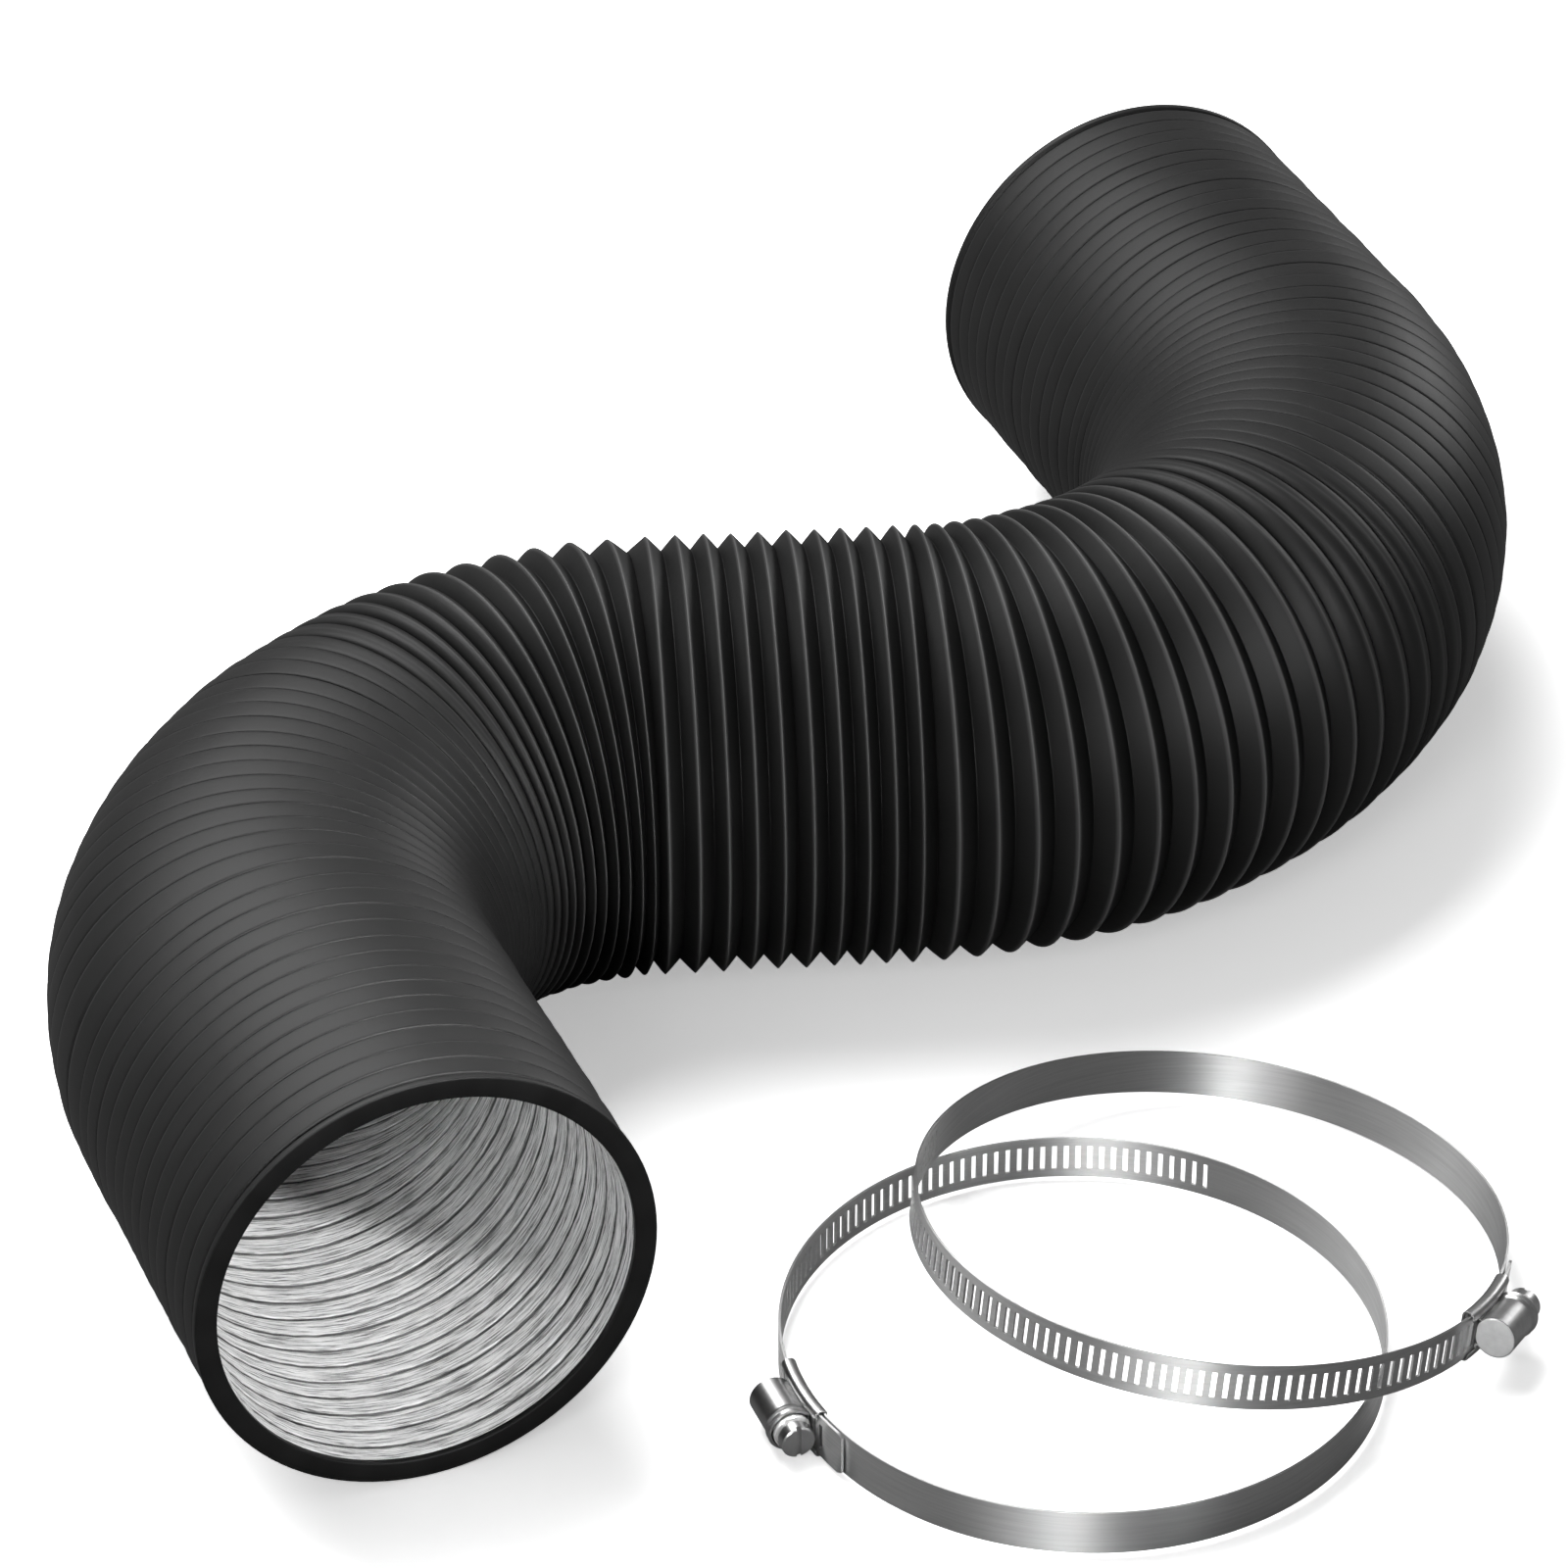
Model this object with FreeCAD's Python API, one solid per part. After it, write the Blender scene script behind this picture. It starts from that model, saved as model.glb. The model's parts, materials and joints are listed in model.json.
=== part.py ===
import FreeCAD, Part
import math
import os

# Flexible air duct with two worm-drive hose clamps, millimetres, +Z up.
# The duct lies on the floor in an S. Origin: floor under the middle of the whole set.

V = FreeCAD.Vector
UP = V(0, 0, 1)

# Duct section
CREST_R = 57.0            # outside of the black sleeve, duct outer diameter 114
SLEEVE_VALLEY_R = 55.6    # folds are kept shallow, the film folds deeper when drawn in
SLEEVE_BORE_R = 55.2
SLEEVE_ROWS = 8           # straight steps along the inside of a section
LINER_R = 51.5            # clear bore, slips over a 102 mm collar
LINER_GROOVE_R = 53.95
LINER_SKIN = 0.45
HOOP_R = 54.78
HOOP_WIRE_R = 0.33
HEM = 1.6                 # thickness of the flat end ring
HEM_FOLD = 1.9
JOINT_GAP = 1.0           # between neighbouring duct sections

# Duct centreline, seen from above
HEADING = 4.9             # degrees, direction of the middle run
MIDDLE_RUN = 67.5
ROOT_HALF = 14.4
BENDS = {
    "front": {"turn": 107.3, "radius": 99.3, "run": 93.3, "knuckle": 31.0},
    "back": {"turn": 107.1, "radius": 118.3, "run": 89.4, "knuckle": 29.5},
}
HINGES_PER_BEND = 5
PITCH_MIDDLE = 7.2
PITCH_SHOULDER = 6.6
PITCH_BEND = 5.8
PITCH_END = 5.6

# Clamps
RING_R = 72.35            # middle of the captive band
BAND_T = 0.7
BAND_W = 12.0
BAND_LAP = 1.2            # radial step from captive end to tail
BAND_SPLIT = 98.89        # degrees from the housing to each band hinge
BAND_CUT = 0.12           # degrees, half the cut between band sections
TAIL_ANGLE = 16.0
CAPTIVE_ANGLE = 8.0
SLOT_START = {"a": 221.0, "b": 184.0}
SLOT_PITCH = 3.0
SLOT_W = 1.3
SLOT_H = 7.2
BARREL_IN = 4.7
BARREL_OUT = 5.4
BARREL_HALF = 7.0
BEAD_R = 5.8
BEAD_W = 0.8
BEADS = (3.9, 5.8)
WORM_R = 4.4
WORM_CORE = 3.2
COLLAR_R = 4.75
LIP_T = 0.7
LIP_GAP = 0.1
SADDLE_ANGLE = 8.5
SADDLE_T = 0.8
HEAD_R = 4.6
HEAD_L = 4.0
AXIS_R = RING_R + BAND_LAP + BAND_T / 2 + 0.15 + WORM_R

# Resting places of the clamps: centre, housing direction, lean
CLAMP_A = {"x": 73.0, "y": -183.0, "housing": 201.0}
CLAMP_B = {"lead": 47.0, "step": 47.0, "housing": 332.0}
REST_GAP = 0.6

# Frame origin: middle of the footprint
ORIGIN = V(8.69, 6.81, 0)


def heading_vector(degrees):
    a = math.radians(degrees)
    return V(math.cos(a), math.sin(a), 0)


def walk(side, s):
    """Point and heading on the centreline, s measured from the duct's middle."""
    bend = BENDS[side]
    start = HEADING if side == "back" else HEADING + 180.0
    ahead = heading_vector(start)
    half = MIDDLE_RUN / 2
    base = V(0, 0, CREST_R) - ORIGIN
    if s <= half:
        return base + ahead * s, start
    left = V(-ahead.y, ahead.x, 0)
    centre = base + ahead * half + left * bend["radius"]
    swept = min((s - half) / bend["radius"], math.radians(bend["turn"]))
    turned = start + math.degrees(swept)
    out = heading_vector(turned)
    spoke = V(out.y, -out.x, 0)
    point = centre + spoke * bend["radius"]
    rest = s - half - swept * bend["radius"]
    return point + out * rest, turned


def junctions(side):
    """Arc lengths of the joints and of the open end, counted from the middle."""
    bend = BENDS[side]
    half = MIDDLE_RUN / 2
    arc = bend["radius"] * math.radians(bend["turn"])
    step = arc / HINGES_PER_BEND
    hinges = [half + step * (k + 0.5) for k in range(HINGES_PER_BEND)]
    return [ROOT_HALF] + hinges + [half + arc + bend["knuckle"], half + arc + bend["run"]]


def ring(side, s, radius):
    point, turned = walk(side, s)
    edge = Part.makeCircle(radius, point, heading_vector(turned))
    return Part.Wire([edge])


def tube(side, outer, inner):
    """Closed thin-walled solid through two lists of (arc length, radius)."""
    outside = [ring(side, s, r) for s, r in outer]
    inside = [ring(side, s, r) for s, r in inner]
    faces = list(Part.makeLoft(outside, False, True).Faces)
    faces += [face.reversed() for face in Part.makeLoft(inside, False, True).Faces]
    faces.append(Part.Face([outside[0], inside[0]]))
    faces.append(Part.Face([outside[-1], inside[-1]]))
    skin = Part.makeCompound(faces)
    skin.sewShape()
    solid = Part.Solid(skin.Shells[0])
    solid.fix(1e-5, 1e-5, 1e-4)
    return solid


def folds(start, stop, pitch):
    count = max(1, round((stop - start) / pitch))
    step = (stop - start) / count
    return [start + step * k for k in range(count)], step


def sleeve(side, start, stop, pitch, hem):
    last = stop - HEM_FOLD * 1.8 if hem else stop
    starts, p = folds(start, last, pitch)
    outer = []
    for s in starts:
        outer += [(s, SLEEVE_VALLEY_R), (s + 0.2 * p, CREST_R), (s + 0.8 * p, CREST_R)]
    outer.append((last, SLEEVE_VALLEY_R))
    reach = (stop - HEM - 0.3 if hem else stop) - start
    inner = [(start + reach * k / SLEEVE_ROWS, SLEEVE_BORE_R) for k in range(SLEEVE_ROWS + 1)]
    if hem:
        outer += [(stop - HEM_FOLD, CREST_R), (stop, CREST_R)]
        inner += [(stop - HEM, LINER_R), (stop, LINER_R)]
    return tube(side, outer, inner)


def liner(side, start, stop, pitch, hem):
    last = stop - HEM_FOLD * 1.8 if hem else stop
    starts, p = folds(start, last, pitch)
    inner = [(start, LINER_R)]
    for s in starts:
        inner += [(s + 0.2 * p, LINER_R), (s + 0.5 * p, LINER_GROOVE_R), (s + 0.8 * p, LINER_R)]
    inner.append((stop - HEM - 0.3 if hem else stop, LINER_R))
    outer = [(s, r + LINER_SKIN) for s, r in inner]
    return tube(side, outer, inner)


def hoops(side, start, stop, pitch, hem):
    last = stop - HEM_FOLD * 1.8 if hem else stop
    starts, p = folds(start, last, pitch)
    rings = []
    for s in starts:
        point, turned = walk(side, s + 0.5 * p)
        rings.append(Part.makeTorus(HOOP_R, HOOP_WIRE_R, point, heading_vector(turned)))
    return Part.makeCompound(rings)


def duct_section(side, start, stop, pitch, hem=False):
    a = start + JOINT_GAP / 2
    b = stop if hem else stop - JOINT_GAP / 2
    return {
        "sleeve": sleeve(side, a, b, pitch, hem),
        "liner": liner(side, a, b, pitch, hem),
        "hoops": hoops(side, a, b, pitch, hem),
    }


def duct_nodes():
    nodes = {}
    for layer, shape in duct_section("back", -ROOT_HALF, ROOT_HALF, PITCH_MIDDLE).items():
        nodes[layer + "_middle"] = shape
    pitches = [PITCH_SHOULDER] + [PITCH_BEND] * 4 + [PITCH_END] * 2
    for side in ("front", "back"):
        marks = junctions(side)
        for k, pitch in enumerate(pitches):
            hem = k == len(pitches) - 1
            parts = duct_section(side, marks[k], marks[k + 1], pitch, hem)
            for layer, shape in parts.items():
                nodes[f"{layer}_{side}_{k + 1}"] = shape
    return nodes


def band_arc(radius, centre, first, last, skin=BAND_T, width=BAND_W):
    """Strip standing on edge, bent about a vertical axis."""
    box = Part.makeBox(skin, 0.001, width, V(radius - skin / 2, 0, -width / 2))
    face = box.Faces[2]
    strip = face.revolve(V(0, 0, 0), UP, last - first)
    strip.rotate(V(0, 0, 0), UP, first)
    strip.translate(centre)
    return strip


def slot_cutters(first, last):
    step = math.degrees(SLOT_PITCH / (RING_R + BAND_LAP))
    cutters = []
    count = int((last - first) / step)
    for k in range(count):
        box = Part.makeBox(6, SLOT_W, SLOT_H, V(RING_R - 3, -SLOT_W / 2, -SLOT_H / 2))
        box.rotate(V(0, 0, 0), UP, first + step * (k + 0.5))
        cutters.append(box)
    return Part.makeCompound(cutters)


def bands(slot_start):
    captive = band_arc(RING_R, V(0, 0, 0), -CAPTIVE_ANGLE, BAND_SPLIT - BAND_CUT)
    far_centre = V(0, -BAND_LAP / 2, 0)
    far = band_arc(RING_R + BAND_LAP / 2, far_centre, BAND_SPLIT + BAND_CUT, 360 - BAND_SPLIT - BAND_CUT)
    far = far.cut(slot_cutters(slot_start, 360 - BAND_SPLIT - 1.0))
    tail = band_arc(RING_R + BAND_LAP, V(0, 0, 0), 360 - BAND_SPLIT + BAND_CUT, 360 + TAIL_ANGLE)
    tail = tail.cut(slot_cutters(360 - BAND_SPLIT + 1.0, 360 + TAIL_ANGLE - 3.5))
    return captive, far, tail


def saddle():
    """Plate under the captive band, its edges turned up round both band edges."""
    plate_r = RING_R - BAND_T / 2 - 0.05 - SADDLE_T / 2
    reach = BAND_W + 2 * (LIP_GAP + LIP_T)
    plate = band_arc(plate_r, V(0, 0, 0), -SADDLE_ANGLE, SADDLE_ANGLE, SADDLE_T, reach)
    lip_out = RING_R + BAND_LAP + 0.35
    lip_skin = lip_out - plate_r
    lips = band_arc(plate_r + lip_skin / 2, V(0, 0, 0), -SADDLE_ANGLE, SADDLE_ANGLE, lip_skin, reach)
    room = band_arc(plate_r + lip_skin / 2, V(0, 0, 0), -12, 12, lip_skin + 1, BAND_W + 2 * LIP_GAP)
    return plate.fuse(lips.cut(room)).removeSplitter()


def housing():
    """Barrel over the worm, open towards the band, with feet along both edges."""
    axis = V(0, 1, 0)
    low = V(AXIS_R, -BARREL_HALF, 0)
    body = Part.makeCylinder(BARREL_OUT, 2 * BARREL_HALF, low, axis)
    for y in BEADS:
        body = body.fuse(Part.makeCylinder(BEAD_R, BEAD_W, V(AXIS_R, y, 0), axis))
    hollow = Part.makeCylinder(BARREL_IN, 2 * BARREL_HALF, low + V(0, 0.8, 0), axis)
    foot_r = RING_R + BAND_LAP + 0.45
    feet = Part.makeBox(LIP_T, 2 * BARREL_HALF + 1, BAND_W + 2 * (LIP_GAP + LIP_T),
                        V(foot_r, -BARREL_HALF - 1, -BAND_W / 2 - LIP_GAP - LIP_T))
    below = Part.makeBox(20, 40, 40, V(foot_r - 20, -20, -20))
    return body.fuse(feet).cut(hollow).cut(below).removeSplitter()


def worm_thread():
    length = 2 * BARREL_HALF - 3.4
    helix = Part.makeHelix(SLOT_PITCH, length, WORM_CORE)
    tooth = Part.makePolygon([V(WORM_CORE - 0.3, 0, -0.8), V(WORM_R, 0, -0.25),
                              V(WORM_R, 0, 0.25), V(WORM_CORE - 0.3, 0, 0.8),
                              V(WORM_CORE - 0.3, 0, -0.8)])
    thread = Part.Wire(helix).makePipeShell([tooth], True, True)
    return thread, length


def screw():
    """Worm, collar and slotted round head, built up +Z then laid along the barrel."""
    thread, length = worm_thread()
    start = -BARREL_HALF + 1.7
    thread.translate(V(0, 0, start))
    core = Part.makeCylinder(WORM_CORE, 2 * BARREL_HALF - 1.2, V(0, 0, -BARREL_HALF + 1.0))
    top = BARREL_HALF + 0.2
    collar = Part.makeCylinder(COLLAR_R, 1.0, V(0, 0, top))
    neck = Part.makeCylinder(WORM_CORE, 1.0, V(0, 0, BARREL_HALF - 0.5))
    head = Part.makeCylinder(HEAD_R, HEAD_L, V(0, 0, top + 1.0))
    rim = head.Edges[0]
    head = head.makeChamfer(0.4, [rim])
    slot = Part.makeBox(1.1, 2 * HEAD_R + 1, 2.4, V(-0.55, -HEAD_R - 0.5, top + HEAD_L - 1.4))
    body = core.fuse([neck, collar, head]).cut(slot).fuse(thread)
    body.rotate(V(0, 0, 0), V(1, 0, 0), -90)
    body.translate(V(AXIS_R, 0, 0))
    return body


def band_floor():
    """Height of a flat clamp's ring centre above the floor."""
    return BAND_W / 2 + LIP_GAP + LIP_T


def placement_a():
    spin = FreeCAD.Rotation(UP, CLAMP_A["housing"])
    return FreeCAD.Placement(V(CLAMP_A["x"], CLAMP_A["y"], band_floor()) - ORIGIN, spin)


def placement_b():
    """Clamp B leans: far edge on the floor, near edge over clamp A's band."""
    lead = heading_vector(CLAMP_B["lead"])
    reach = RING_R + BAND_T / 2
    over = 2 * band_floor() - LIP_GAP - LIP_T + REST_GAP
    slope = math.atan2(over, reach + CLAMP_B["step"] / 2)
    side = V(-lead.y, lead.x, 0)
    lean = FreeCAD.Rotation(side, math.degrees(slope))
    spin = FreeCAD.Rotation(UP, CLAMP_B["housing"])
    centre = V(CLAMP_A["x"], CLAMP_A["y"], 0) + lead * CLAMP_B["step"]
    lift = reach * math.sin(slope) + BAND_W / 2 * math.cos(slope)
    return FreeCAD.Placement(centre + UP * lift - ORIGIN, lean.multiply(spin))


def clamp_nodes():
    pieces = {"saddle": saddle(), "housing": housing(), "screw": screw()}
    nodes = {}
    for letter, place in (("a", placement_a()), ("b", placement_b())):
        strips = zip(("band_captive", "band_far", "band_tail"), bands(SLOT_START[letter]))
        for name, shape in {**pieces, **dict(strips)}.items():
            copy = shape.copy()
            copy.Placement = place.multiply(copy.Placement)
            nodes[f"clamp_{letter}_{name}"] = copy
    return nodes


def main():
    os.makedirs("parts", exist_ok=True)
    nodes = duct_nodes()
    nodes.update(clamp_nodes())
    for name, shape in nodes.items():
        shape.exportStep(f"parts/{name}.step")
        print(name, shape.isValid(), round(shape.Volume, 1), len(shape.Solids))
    box = Part.makeCompound(list(nodes.values())).BoundBox
    print("box", box)


main()
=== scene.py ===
import json
import math

import bmesh
import bpy
import numpy as np
from mathutils import Matrix, Vector


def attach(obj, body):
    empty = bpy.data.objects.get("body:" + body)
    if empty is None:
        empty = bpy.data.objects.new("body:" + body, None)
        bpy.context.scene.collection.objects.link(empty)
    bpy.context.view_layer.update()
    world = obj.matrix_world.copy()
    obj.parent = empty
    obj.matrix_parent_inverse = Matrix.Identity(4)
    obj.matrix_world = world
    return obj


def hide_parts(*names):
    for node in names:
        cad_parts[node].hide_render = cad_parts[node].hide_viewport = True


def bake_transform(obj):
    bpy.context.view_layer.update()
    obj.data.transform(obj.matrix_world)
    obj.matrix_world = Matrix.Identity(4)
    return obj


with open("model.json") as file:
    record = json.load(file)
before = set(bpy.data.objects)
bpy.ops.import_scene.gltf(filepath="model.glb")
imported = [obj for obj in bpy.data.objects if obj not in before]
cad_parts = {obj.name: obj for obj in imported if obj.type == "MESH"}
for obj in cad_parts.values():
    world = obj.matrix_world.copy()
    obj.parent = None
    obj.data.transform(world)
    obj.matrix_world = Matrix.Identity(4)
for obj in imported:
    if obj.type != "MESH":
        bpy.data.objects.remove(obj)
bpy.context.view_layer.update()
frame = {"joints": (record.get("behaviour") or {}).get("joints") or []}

MM = 0.001

# ---------------------------------------------------------------- duct sizes, mm
CREST_R = 57.0
VALLEY_R = 52.9
SKIN = 0.8
LINER_R = 51.5
LINER_GROOVE_R = 52.0
LINER_SKIN = 0.35
HOOP_R = 55.4
HOOP_WIRE_R = 0.4
HOOP_STEPS, HOOP_SIDES = 64, 6
HEM = 1.6
HEM_FACE = 0.3            # depth of the flat end face
HEM_FOLD = 3.42

HEADING = 4.9
MIDDLE_RUN = 67.5
ROOT_HALF = 14.4
BENDS = {
    "front": {"turn": 107.3, "radius": 99.3, "run": 93.3, "knuckle": 31.0},
    "back": {"turn": 107.1, "radius": 118.3, "run": 89.4, "knuckle": 29.5},
}
HINGES_PER_BEND = 5
PITCHES = {
    "front": [7.2, 6.8, 6.7, 6.7, 6.7, 6.7, 6.7],
    "back": [7.4, 7.9, 7.2, 6.6, 6.3, 6.3, 6.3],
}
PITCH_MIDDLE = 7.5
ORIGIN = np.array([8.69, 6.81, 0.0])

AROUND = 112              # mesh columns round the duct, counted from its side
TOP, BOTTOM = AROUND // 4, 3 * AROUND // 4
TINY = 1e-6


def unit(degrees):
    a = math.radians(degrees)
    return np.array([math.cos(a), math.sin(a), 0.0])


def walk(side, s):
    """Point and heading of the centreline at s mm from the middle."""
    bend = BENDS[side]
    start = HEADING if side == "back" else HEADING + 180.0
    ahead = unit(start)
    half = MIDDLE_RUN / 2
    base = np.array([0.0, 0.0, CREST_R]) - ORIGIN
    if s <= half:
        return base + ahead * s, ahead
    left = np.array([-ahead[1], ahead[0], 0.0])
    centre = base + ahead * half + left * bend["radius"]
    swept = min((s - half) / bend["radius"], math.radians(bend["turn"]))
    out = unit(start + math.degrees(swept))
    spoke = np.array([out[1], -out[0], 0.0])
    rest = s - half - swept * bend["radius"]
    return centre + spoke * bend["radius"] + out * rest, out


def path(q):
    """The same with q running from the front end (negative) to the back end."""
    if q >= 0:
        return walk("back", q)
    point, out = walk("front", -q)
    return point, -out


def marks(side):
    bend = BENDS[side]
    half = MIDDLE_RUN / 2
    arc = bend["radius"] * math.radians(bend["turn"])
    hinges = [half + arc * (k + 0.5) / HINGES_PER_BEND for k in range(HINGES_PER_BEND)]
    return [ROOT_HALF] + hinges + [half + arc + bend["knuckle"], half + arc + bend["run"]]


def duct_sections():
    """Body name and its stretch of the centreline, from the front end to the back."""
    front, back = marks("front"), marks("back")
    rows = [(f"front_{k + 1}", -front[k + 1], -front[k], PITCHES["front"][k]) for k in range(6, -1, -1)]
    rows.append(("middle", -ROOT_HALF, ROOT_HALF, PITCH_MIDDLE))
    rows += [(f"back_{k + 1}", back[k], back[k + 1], PITCHES["back"][k]) for k in range(7)]
    return rows


def fold_lines(sections):
    """Valley positions all along the duct, and the valley that splits each body."""
    rng = np.random.RandomState(11)
    lines, splits = [], []
    for name, a, b, pitch in sections:
        lo = a + HEM_FOLD if name == "front_7" else a
        hi = b - HEM_FOLD if name == "back_7" else b
        count = max(1, round((hi - lo) / pitch))
        step = (hi - lo) / count
        inner = [lo + step * (k + rng.uniform(-0.06, 0.06)) for k in range(1, count)]
        splits.append(([lo] + inner)[count // 2])
        lines += [lo] + inner
    return lines + [hi], splits


# ---------------------------------------------------------------- mesh helpers

def make_object(name, verts, faces, material):
    mesh = bpy.data.meshes.new(name)
    mesh.from_pydata([tuple(v) for v in verts], [], faces)
    mesh.materials.append(material)
    for poly in mesh.polygons:
        poly.use_smooth = True
    mesh.update()
    obj = bpy.data.objects.new(name, mesh)
    bpy.context.scene.collection.objects.link(obj)
    return obj


def face_out(obj):
    """Turns every face of a closed mesh outwards."""
    mesh = bmesh.new()
    mesh.from_mesh(obj.data)
    bmesh.ops.recalc_face_normals(mesh, faces=mesh.faces)
    mesh.to_mesh(obj.data)
    mesh.free()
    return obj


def ring_frames(qs):
    """Centre of each row and its direction to the side of the duct."""
    points, aheads = (np.array(column) for column in zip(*[path(q) for q in qs]))
    sides = np.stack([aheads[:, 1], -aheads[:, 0], np.zeros(len(qs))], 1)
    return points, sides


THETA = np.linspace(0, 2 * math.pi, AROUND, endpoint=False)


def closed_tube(name, qs, radii, shading, material, seam):
    """Skin swept round the centreline; rows run out along one face and back along the other.

    The texture starts at column seam, where it is out of sight."""
    points, sides = ring_frames(qs)
    cos, sin = np.cos(THETA), np.sin(THETA)
    up = np.array([0, 0, 1.0])
    xyz = (points[:, None, :] + radii[:, :, None] *
           (sides[:, None, :] * cos[None, :, None] + up * sin[None, :, None])) * MM
    rows = len(qs)
    index = np.arange(rows * AROUND).reshape(rows, AROUND)
    faces = []
    for i in range(rows):
        a, b = index[i], index[(i + 1) % rows]
        for j in range(AROUND):
            k = (j + 1) % AROUND
            faces.append((a[j], a[k], b[k], b[j]))
    obj = make_object(name, xyz.reshape(-1, 3), faces, material)
    turn = (np.arange(AROUND) - seam) % AROUND
    u = np.repeat(turn[None, :], rows, 0).ravel() / AROUND
    girth = 2 * math.pi * CREST_R * MM
    layer = obj.data.uv_layers.new(name="UVMap")
    loops = np.zeros(len(obj.data.loops), int)
    obj.data.loops.foreach_get("vertex_index", loops)
    uv = np.stack([u[loops] * girth, np.repeat(np.array(qs) * MM, AROUND)[loops]], 1)
    wrapped = uv.reshape(-1, 4, 2)
    split = (wrapped[:, :, 0].max(1) - wrapped[:, :, 0].min(1)) > girth / 2
    low = split[:, None] & (wrapped[:, :, 0] < girth / 2)
    wrapped[:, :, 0][low] += girth
    layer.data.foreach_set("uv", wrapped.reshape(-1))
    # Crown and painted highlight of each point, for the painted shade and painted highlight of the
    # materials.
    for label, values in zip(("crown", "painted_highlight"), shading):
        shade = obj.data.attributes.new(label, "FLOAT", "POINT")
        shade.data.foreach_set("value", values.astype(np.float32).ravel())
    return obj


def looseness(q):
    """0 where the folds are packed flat, 1 where they are drawn out, for each column at q."""
    reach = np.abs(q) - (22 + 22 * np.cos(THETA)) * (q > 0)
    t = np.clip((reach - 62) / 66, 0, 1)
    return 1 - t * t * (3 - 2 * t)


def folds(lines, start, stop):
    """Each fold between two valleys: its number, where it starts and where it ends."""
    for k, (a, b) in enumerate(zip(lines, lines[1:])):
        if a >= start - TINY and b <= stop + TINY:
            yield k, a, b


OUTER_T = [0, 0.02, 0.045, 0.08, 0.15, 0.28, 0.4, 0.47, 0.5, 0.53, 0.6, 0.72, 0.85, 0.92, 0.955, 0.98]
SLEEVE_BACK_T = [0, 0.3, 0.7]
LINER_T = [0, 0.2, 0.34, 0.41, 0.46, 0.5, 0.54, 0.59, 0.66, 0.8]
LINER_BACK_T = [0, 0.3, 0.5, 0.7]
LIP_HIGHLIGHT = 0.4            # strength of the painted highlight along the lips, against 1 on the ridges


def fold_height(t, loose):
    """Height of a fold, 0 in the valley and 1 on the crest: square when packed, sharp when loose."""
    power = 26.0 * (1.06 / 26.0) ** (loose ** 0.55)
    return 1 - abs(2 * t - 1) ** power


def painted_edge_highlight(t, loose):
    """Where the film is painted pale as a highlight: along the ridge, and less so along the lips of a
    packed fold.
    """
    ridge = math.exp(-((t - 0.5) / 0.035) ** 2)
    painted_highlight = math.exp(-((t - 0.94) / 0.03) ** 2)
    return loose * ridge + LIP_HIGHLIGHT * (1 - loose) * painted_highlight


def sleeve_rows(lines, start, stop, jitter):
    """Outer and back rows of the black skin between two valleys."""
    outer, back = [], []
    zero = np.zeros(AROUND)
    for k, a, b in folds(lines, start, stop):
        loose = looseness((a + b) / 2)
        for t in OUTER_T:
            height = fold_height(t, loose)
            lean = (1 - loose) * (0.45 * (t - 0.94) - 0.12 * (2 * t - 1) ** 2)
            crest = CREST_R - 0.1 + jitter[k] + lean
            radius = VALLEY_R + (crest - VALLEY_R) * height
            # Height is also the crown, which sets the film's painted valley shade and crest highlight;
            # the last number is the painted highlight along ridges and lips.
            outer.append((a + (b - a) * t, radius, height, painted_edge_highlight(t, loose)))
        for t in SLEEVE_BACK_T:
            height = fold_height(t, loose) * 0.96
            radius = VALLEY_R - SKIN + (CREST_R - 0.6 - VALLEY_R) * height
            back.append((a + (b - a) * t, radius, zero, zero))
    outer.append((stop, VALLEY_R + zero, zero, zero))
    back.append((stop, VALLEY_R - SKIN + zero, zero, zero))
    return outer, back


def wrinkles(q):
    """Small dents of the foil in mm, for each column at q."""
    fine = 0.10 * np.sin(THETA * 37 + q * 1.7) * np.sin(THETA * 23 - q * 2.9)
    return fine + 0.07 * np.sin(THETA * 53 + q * 4.1)


def liner_rows(lines, start, stop):
    inner, back = [], []
    zero = np.zeros(AROUND)
    for _, a, b in folds(lines, start, stop):
        for t in LINER_T:
            q = a + (b - a) * t
            dip = math.exp(-((t - 0.5) / 0.055) ** 2)
            radius = LINER_R + (LINER_GROOVE_R - LINER_R) * dip + wrinkles(q) * (1 - dip)
            # The groove depth dip is also the lining's crown, which sets the foil's painted groove
            # shade.
            inner.append((q, radius, zero + dip, zero))
        for t in LINER_BACK_T:
            q = a + (b - a) * t
            dip = math.exp(-((t - 0.5) / 0.12) ** 2)
            back.append((q, LINER_R + LINER_SKIN + (LINER_GROOVE_R - LINER_R) * dip + zero, zero, zero))
    inner.append((stop, LINER_R + wrinkles(stop), zero, zero))
    back.append((stop, LINER_R + LINER_SKIN + zero, zero, zero))
    return inner, back


def loop_arrays(there, back):
    """Positions, radii and shading of a closed skin: out along one face, back along the other."""
    rows = there + back[::-1]
    qs = [r[0] for r in rows]
    radii = np.array([np.broadcast_to(r[1], AROUND) for r in rows])
    shading = [np.array([np.broadcast_to(r[i], AROUND) for r in rows]) for i in (2, 3)]
    return qs, radii, shading


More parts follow.
